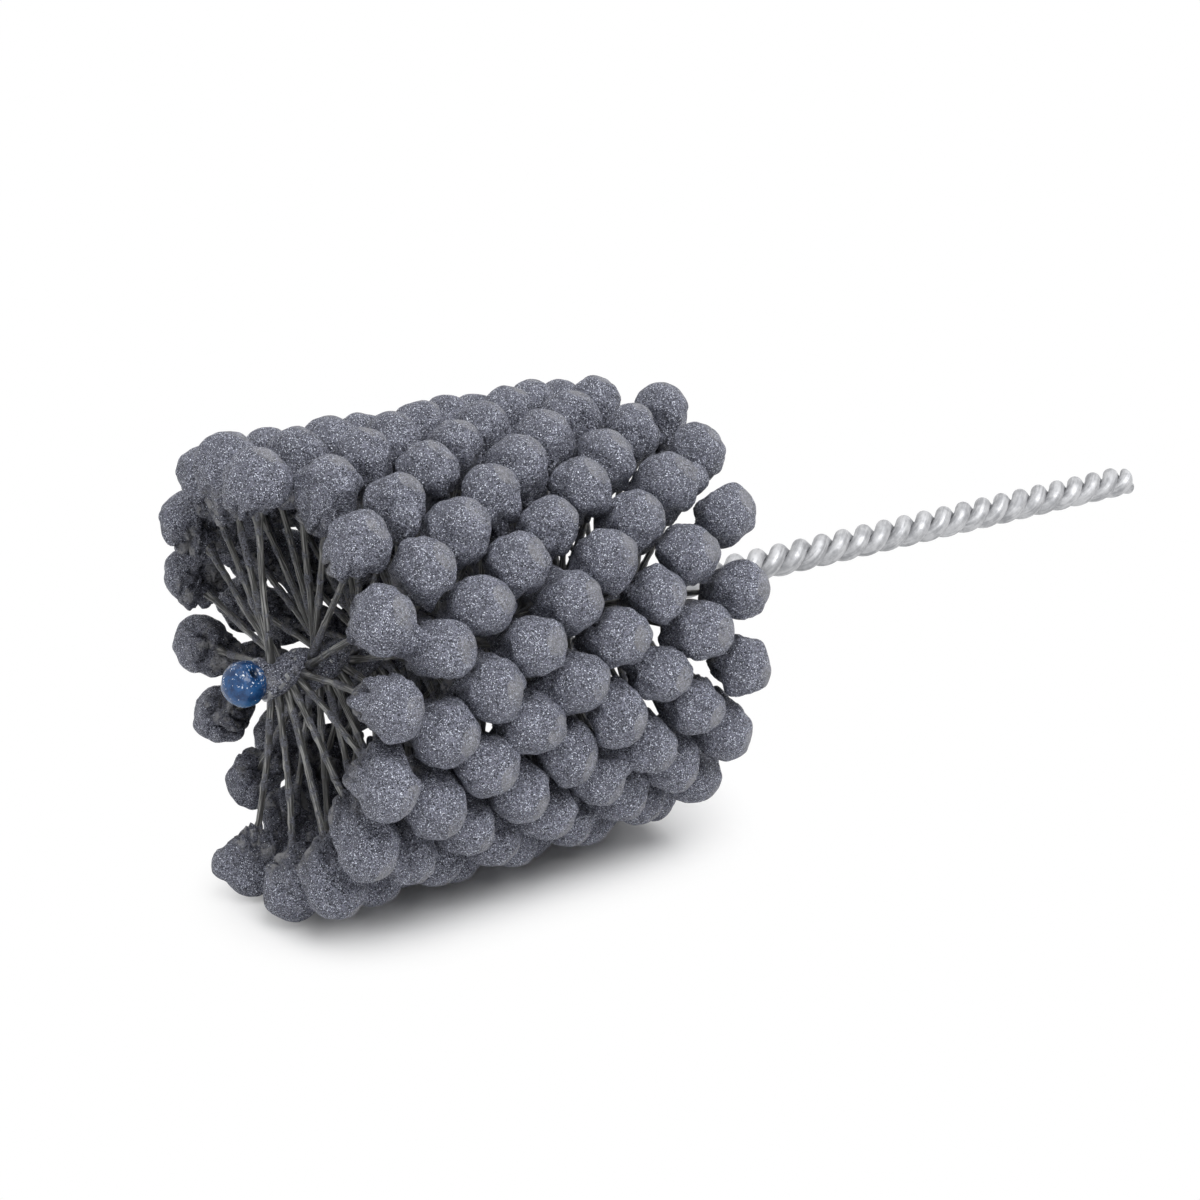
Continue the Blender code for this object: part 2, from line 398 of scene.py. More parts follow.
def marks_of(tree):
    """Return the vector of marks that the geometry stored."""
    return add(tree, "ShaderNodeAttribute", attribute_name="marks").outputs["Vector"]


def mixed(tree, share, first, second):
    """Return the first colour, or the second where the share is one."""
    return add(tree, "ShaderNodeMix", {0: share, 6: first, 7: second}, data_type="RGBA").outputs[2]


def bumped(tree, shader, height, distance):
    bump = add(tree, "ShaderNodeBump", {"Height": height, "Distance": distance})
    tree.links.new(bump.outputs[0], shader.inputs["Normal"])


def cells(tree, place, size):
    """Return a Voronoi texture whose cells are about as large as a grain."""
    return add(tree, "ShaderNodeTexVoronoi", {"Vector": place, "Scale": 1.0 / size})


def grains(tree, place):
    """Return each grain's random number and a height that tilts it its own way."""
    cell = cells(tree, place, GRAIN_SIZE)
    random = vector_calc(tree, "SUBTRACT", cell.outputs["Color"], (0.5, 0.5, 0.5))
    across = vector_calc(tree, "SUBTRACT", place, cell.outputs["Position"])
    rise = measured(tree, "DOT_PRODUCT", across, random)
    return split(tree, cell.outputs["Color"])[0], rise


# %% [markdown]
# ## The abrasive
# Each globule is silicon carbide grit held in dark resin. Close up it is a blue-grey gritty skin:
# every grain has its own shade and its own tilt. A few grains carry a painted glint: a near-white
# speck in the colour, where a facet would catch the lamps. A picture of grit would have to be wrapped
# round every lump, while cells that fill space need no wrapping. The neck, deep among the globules,
# has painted shade: it is darker and has fewer painted glints. Two marks that the geometry stores,
# for the worn face and for the neck, say where.

# %% Colour the grains of the abrasive
MOTTLE_SCALE = 420.0
MOTTLE_RANGE = (0.3, 0.7, 0.8, 1.1)
NECK_PAINTED_SHADE = 0.42
SPECK_SIZE = 0.00013
PAINTED_GLINT_COLOUR = (0.84, 0.88, 1.0, 1)
DULL_SHARE = 0.915
DULL_SHARE_SHADED_NECK = 0.985

abrasive, tree, shader = new_material("abrasive")
place = object_place(tree)
marks = split(tree, marks_of(tree))
face_mark = marks[0]
neck_mark = marks[1]
shade, grain_rise = grains(tree, place)
mottle = noise_at(tree, place, MOTTLE_SCALE, detail=3.0)
shade = calc(tree, "MULTIPLY", shade, eased(tree, mottle, *MOTTLE_RANGE))
# Painted shade: the neck, deep among the globules, is darkened in the colour.
shade = calc(tree, "MULTIPLY", shade, eased(tree, neck_mark, 0.0, 1.0, 1.0, 1.0 - NECK_PAINTED_SHADE))
colour = mixed(tree, shade, GRAIN_DARK, GRAIN_PALE)
speck = cells(tree, place, SPECK_SIZE)
# The neck's painted shade also has fewer painted glints.
dull = eased(tree, neck_mark, 0.0, 1.0, DULL_SHARE, DULL_SHARE_SHADED_NECK)
painted_glint = calc(tree, "GREATER_THAN", split(tree, speck.outputs["Color"])[1], dull)
print("one speck in", round(1 / (1 - DULL_SHARE)), "sparkles")

# %% [markdown]
# ## Dust and folds on the abrasive
# The head is sized by grinding, so each globule has a smooth and dusty worn face, which lies a little
# towards the stem. The neck is dusty in patches, and wrinkled. One noise makes both kinds of dust,
# which hides the painted glints and the tilt of the grains under it. The wrinkles are lines at which
# another noise crosses its middle. They are a bump and not a shape, because they are finer than the
# mesh.

# %% Add the dust and the folds
DUST_SCALE = 330.0
DUST_COLOUR = (0.285, 0.284, 0.288, 1)
DUST_WEIGHT = 0.7
WORN_RANGE = (0.92, 1.02)
FACE_DUST_RANGE = (0.38, 0.60, 0.08, 0.46)
NECK_DUST_RANGE = (0.50, 0.62, 0.0, 0.7)
GRIT_ROUGHNESS = 0.65
SPECK_ROUGHNESS = 0.30
GRAIN_TILT = 2.0
FOLD_SCALE = 270.0
FOLD_RANGE = (0.0, 0.22, -1.0, 0.0)
FOLD_DEPTH = 0.0004

dust_patch = noise_at(tree, place, DUST_SCALE, detail=4.0, roughness=0.65)
worn = eased(tree, calc(tree, "MULTIPLY_ADD", dust_patch, DUST_WEIGHT, face_mark), *WORN_RANGE)
face_dust = calc(tree, "MULTIPLY", worn, eased(tree, dust_patch, *FACE_DUST_RANGE))
neck_dust = calc(tree, "MULTIPLY", neck_mark, eased(tree, dust_patch, *NECK_DUST_RANGE))
dust = calc(tree, "MAXIMUM", face_dust, neck_dust)
clean = calc(tree, "SUBTRACT", 1.0, dust)
# Painted glints: a few grains get a near-white speck in their colour, where a facet would catch the
# lamps.
colour = mixed(tree, calc(tree, "MULTIPLY", painted_glint, clean), colour, PAINTED_GLINT_COLOUR)
feed(tree, shader.inputs["Base Color"], mixed(tree, dust, colour, DUST_COLOUR))
roughness = calc(tree, "MULTIPLY_ADD", painted_glint, SPECK_ROUGHNESS - GRIT_ROUGHNESS, GRIT_ROUGHNESS)
feed(tree, shader.inputs["Roughness"], roughness)

fold = calc(tree, "ABSOLUTE", swing_at(tree, place, FOLD_SCALE, detail=3.0))
fold = eased(tree, fold, *FOLD_RANGE)
fold = calc(tree, "MULTIPLY", fold, calc(tree, "MULTIPLY", neck_mark, FOLD_DEPTH))
tilt = calc(tree, "MULTIPLY", grain_rise, calc(tree, "MULTIPLY", clean, GRAIN_TILT))
bumped(tree, shader, calc(tree, "ADD", tilt, fold), 1.0)
print("abrasive has", len(tree.nodes), "nodes")

# %% [markdown]
# ## The filament's coat
# The bristle is drawn nylon, so its tone runs in long streaks. The pale streaks are also painted
# sheen: they stand in for the thin highlights along the round bristle. Dipping leaves dark resin with
# a few grains on it, in patches. The streaks need to know the direction of the bristle, so the
# geometry stores two numbers round it and one along it, and noise over these three makes the
# streaks. They are long because the third number grows slowly. The patches come from the same noise
# that thickens the filament there.

# %% Make the coated filament material
NYLON_DARK = (0.048, 0.048, 0.047, 1)
NYLON_PALE_AND_SHEEN = (0.345, 0.345, 0.334, 1)
NYLON_ROUGHNESS = 0.32
NYLON_STREAKS = 2.2
STREAK_RANGE = (0.47, 0.66)
COAT_ROUGHNESS = 0.7
COAT_SHADE = 0.6
COAT_TILT = 1.2
NYLON_TILT = 0.15
PATCH_SCALE = 330.0
PATCH_RANGE = (0.47, 0.60)

filament_coat, tree, shader = new_material("filament_coat")
place = object_place(tree)
streak = noise_at(tree, marks_of(tree), NYLON_STREAKS)
# Painted sheen: the pale streaks stand in for thin highlights along the bristle, besides the nylon's own
# tone.
nylon = mixed(tree, eased(tree, streak, *STREAK_RANGE), NYLON_DARK, NYLON_PALE_AND_SHEEN)
shade, grain_rise = grains(tree, place)
grit = mixed(tree, calc(tree, "MULTIPLY", shade, COAT_SHADE), NYLON_DARK, GRAIN_PALE)
patch = noise_at(tree, place, PATCH_SCALE, detail=3.0, roughness=0.6)
patch = eased(tree, patch, *PATCH_RANGE)
slope = calc(tree, "MULTIPLY_ADD", patch, COAT_TILT, NYLON_TILT)
feed(tree, shader.inputs["Base Color"], mixed(tree, patch, nylon, grit))
feed(tree, shader.inputs["Roughness"], eased(tree, patch, 0.0, 1.0, NYLON_ROUGHNESS, COAT_ROUGHNESS))
bumped(tree, shader, calc(tree, "MULTIPLY", grain_rise, slope), 1.0)
print("filament coat has", len(tree.nodes), "nodes")

# %% [markdown]
# ## The recipe for a pair of filaments
# A globule forms as thick paste on the filament's end. Its outer end is nearly a sphere, and towards
# the core it narrows, unevenly, to a blunt and wrinkled neck. Copies of one globule would show as
# copies, and sculpting 156 would take days, so a formula shapes them all. The recipe puts a unit
# sphere on each end of the two paths, then moves every point in the globule's own directions: outward
# along the filament, and two directions across it. The sphere is a cube with a fine grid, made round,
# because its faces stay even.

# %% Recipe: a sphere for each globule
SPHERE_GRID = 21


def unit_sphere(tree):
    """Return a unit sphere that stores each point's own direction."""
    grid = {1: SPHERE_GRID, 2: SPHERE_GRID, 3: SPHERE_GRID}
    cube = add(tree, "GeometryNodeMeshCube", {"Size": (2, 2, 2), **grid}).outputs["Mesh"]
    ball = moved(tree, cube, vector_calc(tree, "NORMALIZE", position_of(tree)))
    return stored(tree, ball, "sphere", position_of(tree))


def shifted(tree, place, ways, distances):
    """Return the place that is reached by going a distance along each of the ways."""
    for way, distance in zip(ways, distances):
        place = vector_calc(tree, "ADD", place, scaled(tree, way, distance))
    return place


# %% [markdown]
# ## The smooth body of a globule
# The outer half stays a sphere. The inner half is drawn out, tapers, and closes bluntly round the
# filament. Every globule has its own fatness, stretch and fullness, its own taper, and a neck that
# leans its own way, and its section is a little oval. These numbers are drawn at random further on,
# and the formula finds them under their names.

# %% Recipe: the smooth body
DRIFT = 50.0
TAPER_LEAST = 0.28
TAPER_MOST = 0.68
SQUASH = 0.16
LEAN = 0.0036


def leaning(tree, side, girth, chance, lean):
    """Return how far a point lies to one side, with the neck leaning by chance."""
    shift = calc(tree, "SUBTRACT", chance, 0.5)
    return calc(tree, "MULTIPLY_ADD", shift, lean, calc(tree, "MULTIPLY", side, girth))


def globule_body(tree, given, x, y, inner, outer):
    """Return how far a point lies along the smooth globule, and to its two sides."""
    fatness, stretch, fullness = split(tree, named(tree, "build"))
    taper_chance, lean_chance_x, lean_chance_y = split(tree, named(tree, "chances"))

    # The swelling makes the sphere's inner end blunt: (1 - z^2)(1 + z^2 + z^4) is 1 - z^6
    radius = calc(tree, "MULTIPLY", given["Globule Radius"], fatness)
    length = calc(tree, "MULTIPLY", given["Globule Length"], stretch)
    taper = eased(tree, taper_chance, 0.0, 1.0, TAPER_LEAST, TAPER_MOST)
    lost = calc(tree, "MULTIPLY", taper, calc(tree, "POWER", inner, fullness))
    squared = calc(tree, "MULTIPLY", inner, inner)
    swelling = calc(tree, "ADD", 1.0, calc(tree, "MULTIPLY_ADD", squared, squared, squared))
    profile = calc(tree, "MULTIPLY", calc(tree, "SUBTRACT", 1.0, lost), calc(tree, "SQRT", swelling))
    girth = calc(tree, "MULTIPLY", radius, profile)
    inward = calc(tree, "MULTIPLY", inner, calc(tree, "SUBTRACT", length, radius))
    along = calc(tree, "MULTIPLY", radius, calc(tree, "SUBTRACT", outer, 1.0))
    along = calc(tree, "SUBTRACT", along, inward)

    # The section is a little oval, and the neck leans to one side
    oval = calc(tree, "MULTIPLY", split(tree, named(tree, "drift"))[1], SQUASH / (2 * DRIFT))
    wide = calc(tree, "MULTIPLY", girth, calc(tree, "ADD", 1.0, oval))
    slim = calc(tree, "MULTIPLY", girth, calc(tree, "SUBTRACT", 1.0, oval))
    lean = calc(tree, "MULTIPLY", squared, LEAN)
    side_x = leaning(tree, x, wide, lean_chance_x, lean)
    side_y = leaning(tree, y, slim, lean_chance_y, lean)
    return along, side_x, side_y


# %% [markdown]
# ## Lumps, folds and nubs
# Paste sets with soft lumps all over it, and with knolls and folds where it gathers at the neck. Some
# globules also carry a nub on the inner half. Noise makes the lumps and knolls. The folds lie where a
# noise crosses its middle, which gives thin winding lines, and the nub is a cap round a random
# direction. Each of them pushes a point straight in or out.

# %% Recipe: the relief
LUMP_SCALE = 1.1
CROWN_TO_GIRTH = (0.95, 0.1)
GIRTH_TO_NECK = (0.0, -0.9)
CROWN_LUMP = 0.0003
GIRTH_LUMP = 0.0013
NECK_LUMP = 0.0010
KNOLL_SCALE = 1.9
KNOLL_ZONE = (0.3, -0.8)
CROWN_KNOLL = 0.0003
NECK_KNOLL = 0.0021
CREASE_SCALE = 1.5
CREASE_ZONE = (0.2, 0.8)
CREASE_WIDTH = 0.13
CREASE_RIM = 0.15
CREASE_DEPTH = 0.0015
NUB = 0.0022
NUB_SHARE = 0.4
NUB_EDGE = 0.80
SINK_ZONE = (0.0, 0.6)
SIDE_SINK = 0.00005
CROWN_SINK = 0.00030


def globule_relief(tree, z, inner, outer):
    """Return how far lumps, creases and a nub push a point out of the smooth globule."""
    sphere = named(tree, "sphere")
    drift = named(tree, "drift")
    spot = vector_calc(tree, "ADD", sphere, drift)
    height = eased(tree, z, *CROWN_TO_GIRTH, CROWN_LUMP, GIRTH_LUMP)
    height = calc(tree, "ADD", height, eased(tree, z, *GIRTH_TO_NECK, 0.0, NECK_LUMP))
    lump = calc(tree, "MULTIPLY", swing_at(tree, spot, LUMP_SCALE, detail=1.0), height)
    knoll = swing_at(tree, spot, KNOLL_SCALE, detail=1.0, roughness=0.4)
    knoll = calc(tree, "MULTIPLY", knoll, eased(tree, z, *KNOLL_ZONE, CROWN_KNOLL, NECK_KNOLL))
    crease = calc(tree, "ABSOLUTE", swing_at(tree, spot, CREASE_SCALE, detail=0.5))
    crease = eased(tree, crease, 0.0, CREASE_WIDTH, -1.0, CREASE_RIM)
    crease = calc(tree, "MULTIPLY", crease, eased(tree, inner, *CREASE_ZONE, 0.0, CREASE_DEPTH))
    aim = vector_calc(tree, "NORMALIZE", named(tree, "knob"))
    wanted = calc(tree, "GREATER_THAN", split(tree, drift)[0], DRIFT * (1 - 2 * NUB_SHARE))
    nub = eased(tree, measured(tree, "DOT_PRODUCT", sphere, aim), NUB_EDGE, 1.0, 0.0, NUB)
    nub = calc(tree, "MULTIPLY", nub, wanted)
    push = calc(tree, "ADD", calc(tree, "ADD", lump, knoll), crease)
    push = calc(tree, "ADD", push, nub)
    return calc(tree, "SUBTRACT", push, eased(tree, outer, *SINK_ZONE, SIDE_SINK, CROWN_SINK))


# %% [markdown]
# ## Marks for the material
# The abrasive has to know which points are worn and which belong to the neck. A place in space can't
# tell it, so the geometry stores two marks on every point. Both come from the direction in which the
# point lies from the globule's middle.

# %% Recipe: the marks
WEAR_TILT = math.radians(28)
WEAR_ZONE = (0.66, 0.97)
NECK_ZONE = (0.25, 0.80)


def globule_marks(tree, y, z, inner):
    """Return the masks of the worn face and of the neck."""
    facing_out = calc(tree, "MULTIPLY", z, math.cos(WEAR_TILT))
    facing_wear = calc(tree, "MULTIPLY_ADD", y, -math.sin(WEAR_TILT), facing_out)
    worn = eased(tree, facing_wear, *WEAR_ZONE)
    return joined(tree, worn, eased(tree, inner, *NECK_ZONE), 0.0)


# %% [markdown]
# ## A chance for each globule
# Before the spheres are put on the ends, four random vectors are drawn there: a drift, which is the
# globule's own place in the noise, the chances of its taper and lean, the direction of its nub, and
# its build. The seeds are fixed, so the globules are the same on every run. Each sphere takes its
# numbers along, and the formulas above turn it into a globule.

# %% Recipe: the globules
SEED_STEP = 1000
BUILD_LEAST = (0.96, 0.94, 1.5)
BUILD_MOST = (1.11, 1.20, 3.2)


def random_vector(tree, low, high, seed):
    inputs = {0: low, 1: high, "Seed": seed}
    return add(tree, "FunctionNodeRandomValue", inputs, data_type="FLOAT_VECTOR").outputs[0]


def shaped_globules(tree, given, balls):
    """Move the points of the unit spheres to the globules' surfaces."""
    outward = named(tree, "outward")
    across = vector_calc(tree, "NORMALIZE", vector_calc(tree, "CROSS_PRODUCT", outward, (1, 0, 0)))
    upright = vector_calc(tree, "CROSS_PRODUCT", outward, across)
    x, y, z = split(tree, named(tree, "sphere"))
    inner = calc(tree, "MAXIMUM", calc(tree, "MULTIPLY", z, -1.0), 0.0)
    outer = calc(tree, "MAXIMUM", z, 0.0)
    body = globule_body(tree, given, x, y, inner, outer)
    place = shifted(tree, named(tree, "pole"), (outward, across, upright), body)
    way = shifted(tree, (0, 0, 0), (across, upright, outward), (x, y, z))
    place = shifted(tree, place, [way], [globule_relief(tree, z, inner, outer)])
    balls = stored(tree, balls, "marks", globule_marks(tree, y, z, inner))
    return moved(tree, balls, place)


def globules(tree, given, paths, material):
    """Add the globules to the tree and return their geometry."""
    marked = stored(tree, paths, "pole", position_of(tree))
    draws = {
        "drift": ((-DRIFT, -DRIFT, -DRIFT), (DRIFT, DRIFT, DRIFT)),
        "chances": ((0, 0, 0), (1, 1, 1)),
        "knob": ((-1, -1, -1), (1, 1, 0)),
        "build": (BUILD_LEAST, BUILD_MOST),
    }
    for number, (label, (low, high)) in enumerate(draws.items()):
        seed = calc(tree, "ADD", given["Seed"], number * SEED_STEP)
        marked = stored(tree, marked, label, random_vector(tree, low, high, seed))
    neighbours = add(tree, "GeometryNodeInputMeshVertexNeighbors").outputs[0]
    at_ends = add(tree, "FunctionNodeCompare", {2: neighbours, 3: 1}, data_type="INT", operation="EQUAL")
    inputs = {"Points": marked, "Selection": at_ends.outputs[0], "Instance": unit_sphere(tree)}
    instances = add(tree, "GeometryNodeInstanceOnPoints", inputs).outputs[0]
    balls = add(tree, "GeometryNodeRealizeInstances", {0: instances}).outputs[0]
    return finished(tree, shaped_globules(tree, given, balls), material)


# %% [markdown]
# ## A tube that knows its direction
# Drawn nylon and drawn wire have streaks that run along them. The recipe for a tube sweeps a round
# profile along a curve, with a radius for each point, and stores marks: two numbers that run round
# the tube and one that runs along it. Filaments and wires both use it.

# %% Recipe: a tube
STREAK_LENGTH = 0.014


def swept(tree, curve, radius, sides, material):
    """Sweep a round profile along a curve, and store marks that run round it and along it."""
    gone = add(tree, "GeometryNodeSplineParameter").outputs["Length"]
    run = joined(tree, 0.0, 0.0, calc(tree, "DIVIDE", gone, STREAK_LENGTH))
    curve = stored(tree, curve, "run", run)
    ring = add(tree, "GeometryNodeCurvePrimitiveCircle", {"Resolution": sides, "Radius": 1.0}).outputs[0]
    ring = stored(tree, ring, "ring", position_of(tree))
    inputs = {"Curve": curve, "Profile Curve": ring, "Scale": radius, "Fill Caps": True}
    tube = add(tree, "GeometryNodeCurveToMesh", inputs).outputs[0]
    marks = vector_calc(tree, "ADD", named(tree, "ring"), named(tree, "run"))
    return finished(tree, stored(tree, tube, "marks", marks), material)


# %% [markdown]
# ## The filaments themselves
# The filament follows its path as a tube whose radius changes on the way: thicker where the resin
# gathers at the core and at the neck of each globule, and a little uneven between them. Nylon that
# has been bent never lies quite straight, so the free stretch also sways a little. The two ends stop
# inside the globules.

# %% Recipe: the filaments
FILAMENT_POINTS = 80
FILAMENT_SIDES = 9
BURIED_LENGTH = 0.0020
ROOT_ZONE = (0.0025, 0.0085)
ROOT_FLARE = 0.00025
STALK_ZONE = (0.0008, 0.0042)
NECK_FLARE = 0.00050
PATCH_GROWTH = 1.30
SWAY = 0.0007
SWAY_SCALE = 55.0
LOOSE_FROM_AXIS = (0.005, 0.014)
LOOSE_FROM_END = (0.001, 0.009)


def filament_radius(tree, given, reach, to_end):
    """Return the radius on the way, from the distances to the axis and to the nearer end."""
    patch = noise_at(tree, position_of(tree), PATCH_SCALE, detail=3.0, roughness=0.6)
    growth = eased(tree, patch, *PATCH_RANGE, 1.0, PATCH_GROWTH)
    radius = calc(tree, "MULTIPLY", given["Filament Radius"], growth)
    radius = calc(tree, "ADD", radius, eased(tree, reach, *ROOT_ZONE, ROOT_FLARE, 0.0))
    return calc(tree, "ADD", radius, eased(tree, to_end, *STALK_ZONE, NECK_FLARE, 0.0))


def filament_sway(tree, reach, to_end):
    """Return a small random shift that dies out at the core and at the globules."""
    free_of_core = eased(tree, reach, *LOOSE_FROM_AXIS)
    loose = calc(tree, "MULTIPLY", free_of_core, eased(tree, to_end, *LOOSE_FROM_END))
    sway = noise_node(tree, position_of(tree), SWAY_SCALE, detail=1.0).outputs["Color"]
    sway = vector_calc(tree, "SUBTRACT", sway, (0.5, 0.5, 0.5))
    return scaled(tree, sway, calc(tree, "MULTIPLY", loose, SWAY))


def filaments(tree, given, paths, material):
    """Add the coated filaments to the tree and return their geometry."""
    curve = add(tree, "GeometryNodeMeshToCurve", {0: paths}).outputs[0]
    length = add(tree, "GeometryNodeSplineLength").outputs[0]
    buried = calc(tree, "SUBTRACT", given["Globule Length"], BURIED_LENGTH)
    stop = calc(tree, "SUBTRACT", length, buried)
    inputs = {0: curve, 4: buried, 5: stop}
    trimmed = add(tree, "GeometryNodeTrimCurve", inputs, mode="LENGTH").outputs[0]
    inputs = {"Curve": trimmed, "Count": FILAMENT_POINTS}
    evened = add(tree, "GeometryNodeResampleCurve", inputs).outputs[0]
    here = split(tree, position_of(tree))
    reach = diagonal(tree, here[1], calc(tree, "SUBTRACT", here[2], given["Axis Height"]))
    gone = add(tree, "GeometryNodeSplineParameter").outputs["Length"]
    to_end = calc(tree, "MINIMUM", gone, calc(tree, "SUBTRACT", length, gone))
    inputs = {"Geometry": evened, "Offset": filament_sway(tree, reach, to_end)}
    swayed = add(tree, "GeometryNodeSetPosition", inputs).outputs[0]
    return swept(tree, swayed, filament_radius(tree, given, reach, to_end), FILAMENT_SIDES, material)


# %% [markdown]
# ## Running the recipe
# The recipe for globules and the one for filaments are joined into one tree. It runs once for each
# pair, with the pair's own seed, and gives one mesh for two filaments and their four globules.

# %% Build the filament pairs
GLOBULE_RADIUS = 0.0047
GLOBULE_LENGTH = 0.0123
FILAMENT_RADIUS = 0.00052
PAIR_SEED_STEP = 10

sizes = {
    "Globule Radius": GLOBULE_RADIUS,
    "Globule Length": GLOBULE_LENGTH,
    "Filament Radius": FILAMENT_RADIUS,
    "Axis Height": AXIS_HEIGHT,
    "Seed": 0,
}
pair_tree, given, result = new_tree("filament_pair", sizes)
inputs = {0: globules(pair_tree, given, given["Geometry"], abrasive)}
both = add(pair_tree, "GeometryNodeJoinGeometry", inputs)
pair_tree.links.new(filaments(pair_tree, given, given["Geometry"], filament_coat), both.inputs[0])
pair_tree.links.new(both.outputs[0], result.inputs[0])

dressed_pairs = {}
for pair, name in enumerate(pair_names):
    sizes["Seed"] = PAIR_SEED_STEP * pair
    new_name = "abrasive_" + name.removeprefix("filament_")
    dressed_pairs[name] = made(new_name, pair_paths[name], pair_tree, sizes)
faces = [face for piece in dressed_pairs.values() for face in piece.data.polygons]
triangles = sum(len(face.vertices) - 2 for face in faces)
print("filament pairs:", len(dressed_pairs), "with", triangles, "triangles")

# %% [markdown]
# ## The wires
# Two galvanised steel wires are twisted together. In the head the lay is long, because the filaments
# hold the wires apart. Behind the head it tightens, and in the stem the two wires touch. A Screw
# modifier winds at one even lay, so each wire is a path worked out step by step instead, swept with
# a round profile and then cut square at both ends.

# %% Work out the wires' paths
WIRE_RADIUS = 0.00152
HEAD_CORE_RADIUS = 0.0021
STEM_CORE_RADIUS = 0.00153
STEM_LAY = 0.010208
LAY_CHANGE_LENGTH = 0.024
CORE_CLOSING_LENGTH = 0.004
ROOT_THICKNESS = 0.0008665
WIRE_STEP = 0.0004
WIRE_OVERRUN = 0.003

FILAMENT_SPACING = PAIR_SPACING / 2
FIRST_FILAMENT_X = crossings[pair_names[0]] - FILAMENT_SPACING / 2
LAST_FILAMENT_X = crossings[pair_names[-1]] + FILAMENT_SPACING / 2
HEAD_RATE = STEP_ANGLE / FILAMENT_SPACING
STEM_RATE = 2 * math.pi / STEM_LAY


def wire_turn(x):
    """Return how far the wires have turned at x, in radians."""
    behind_head = max(0.0, x - LAST_FILAMENT_X)
    changing = min(behind_head, LAY_CHANGE_LENGTH)
    settled = behind_head - changing
    extra = (STEM_RATE - HEAD_RATE) * (changing**2 / (2 * LAY_CHANGE_LENGTH) + settled)
    return FIRST_ANGLE - HEAD_RATE * (x - FIRST_FILAMENT_X) - extra


def core_radius(x):
    """Return a wire's distance from the axis, less where no filament parts the two."""
    share = (x - LAST_FILAMENT_X - ROOT_THICKNESS) / CORE_CLOSING_LENGTH
    share = min(max(share, 0.0), 1.0)
    closed = share * share * (3 - 2 * share)
    return HEAD_CORE_RADIUS + (STEM_CORE_RADIUS - HEAD_CORE_RADIUS) * closed


def wire_path(side, start_x, end_x):
    points = []
    steps = math.ceil((end_x - start_x) / WIRE_STEP)
    for step in range(steps + 1):
        x = start_x + (end_x - start_x) * step / steps
        angle = wire_turn(x) + side * math.pi / 2
        radius = core_radius(x)
        points.append(Vector((x, radius * math.cos(angle), AXIS_HEIGHT + radius * math.sin(angle))))
    return points


# %% [markdown]
# ## The galvanised finish
# Hot zinc leaves the wire pale, dull and slightly streaked. It is a metal, but a soft one: wide
# highlights, no mirror. The tone varies in small patches and in streaks that run along the wire.
# Noise over the tube's marks lets the streaks follow the twist.

# %% Make the galvanised material
ZINC_DARK = (0.31, 0.315, 0.330, 1)
ZINC_PALE = (0.54, 0.545, 0.560, 1)
ZINC_TONE_RANGE = (0.38, 0.60)
ZINC_ROUGHNESS_RANGE = (0.3, 0.7, 0.55, 0.42)
ZINC_METAL = 0.45
ZINC_PATCHES = 500.0
ZINC_STREAKS = 2.6
ZINC_GRAIN = 1800.0
ZINC_DEPTH = 0.00005

galvanised, tree, shader = new_material("galvanised_wire")
place = object_place(tree)
patches = noise_at(tree, place, ZINC_PATCHES, detail=4.0, roughness=0.6)
streak = noise_at(tree, marks_of(tree), ZINC_STREAKS, detail=3.0, roughness=0.6)
tone = calc(tree, "MULTIPLY", calc(tree, "ADD", streak, patches), 0.5)
colour = mixed(tree, eased(tree, tone, *ZINC_TONE_RANGE), ZINC_DARK, ZINC_PALE)
feed(tree, shader.inputs["Base Color"], colour)
feed(tree, shader.inputs["Roughness"], eased(tree, patches, *ZINC_ROUGHNESS_RANGE))
shader.inputs["Metallic"].default_value = ZINC_METAL
bumped(tree, shader, noise_at(tree, place, ZINC_GRAIN, detail=3.0, roughness=0.6), ZINC_DEPTH)
print("galvanised wire has", len(tree.nodes), "nodes")

# %% Recipe: a wire
WIRE_SIDES = 20
SHARP_ANGLE = math.radians(40)

sizes = {"Wire Radius": WIRE_RADIUS}
wire_tree, given, result = new_tree("core_wire", sizes)
curve = add(wire_tree, "GeometryNodeMeshToCurve", {0: given["Geometry"]}).outputs[0]
wire = swept(wire_tree, curve, given["Wire Radius"], WIRE_SIDES, galvanised)
wire_tree.links.new(wire, result.inputs[0])


def cut_square(piece, x, keep_below):
    """Cut a piece across the hone's axis at x and close the cut."""
    bm = bmesh.new()
    bm.from_mesh(piece.data)
    geometry = bm.verts[:] + bm.edges[:] + bm.faces[:]
    way = (1 if keep_below else -1, 0, 0)
    bmesh.ops.bisect_plane(bm, geom=geometry, plane_co=(x, 0, 0), plane_no=way, clear_outer=True)
    rim = [edge for edge in bm.edges if edge.is_boundary]
    bmesh.ops.edgeloop_fill(bm, edges=rim)
    bmesh.ops.recalc_face_normals(bm, faces=bm.faces[:])
    bm.to_mesh(piece.data)
    bm.free()


wires = {}
for side, name in ((1, "core_wire_a"), (-1, "core_wire_b")):
    low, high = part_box(name)
    path = wire_path(side, low.x - WIRE_OVERRUN, high.x + WIRE_OVERRUN)
    wires[name] = made("twisted_" + name, path_mesh(name, [path]), wire_tree, sizes)
    cut_square(wires[name], low.x, keep_below=False)
    cut_square(wires[name], high.x, keep_below=True)
    wires[name].data.set_sharp_from_angle(angle=SHARP_ANGLE)

# %% [markdown]
# ## The crust on the core
# Inside the head the wires are buried in the same paste as the filaments. The crust follows the two
# strands, so it has two rounded lobes that wind round the axis, with a shallow web between them
# where the filaments come out. Sculpting would have to chase the twist over the whole head, so a
# formula wraps a capped cylinder round the axis and pushes it out to that shape, and noise breaks it
# up into crumbs.

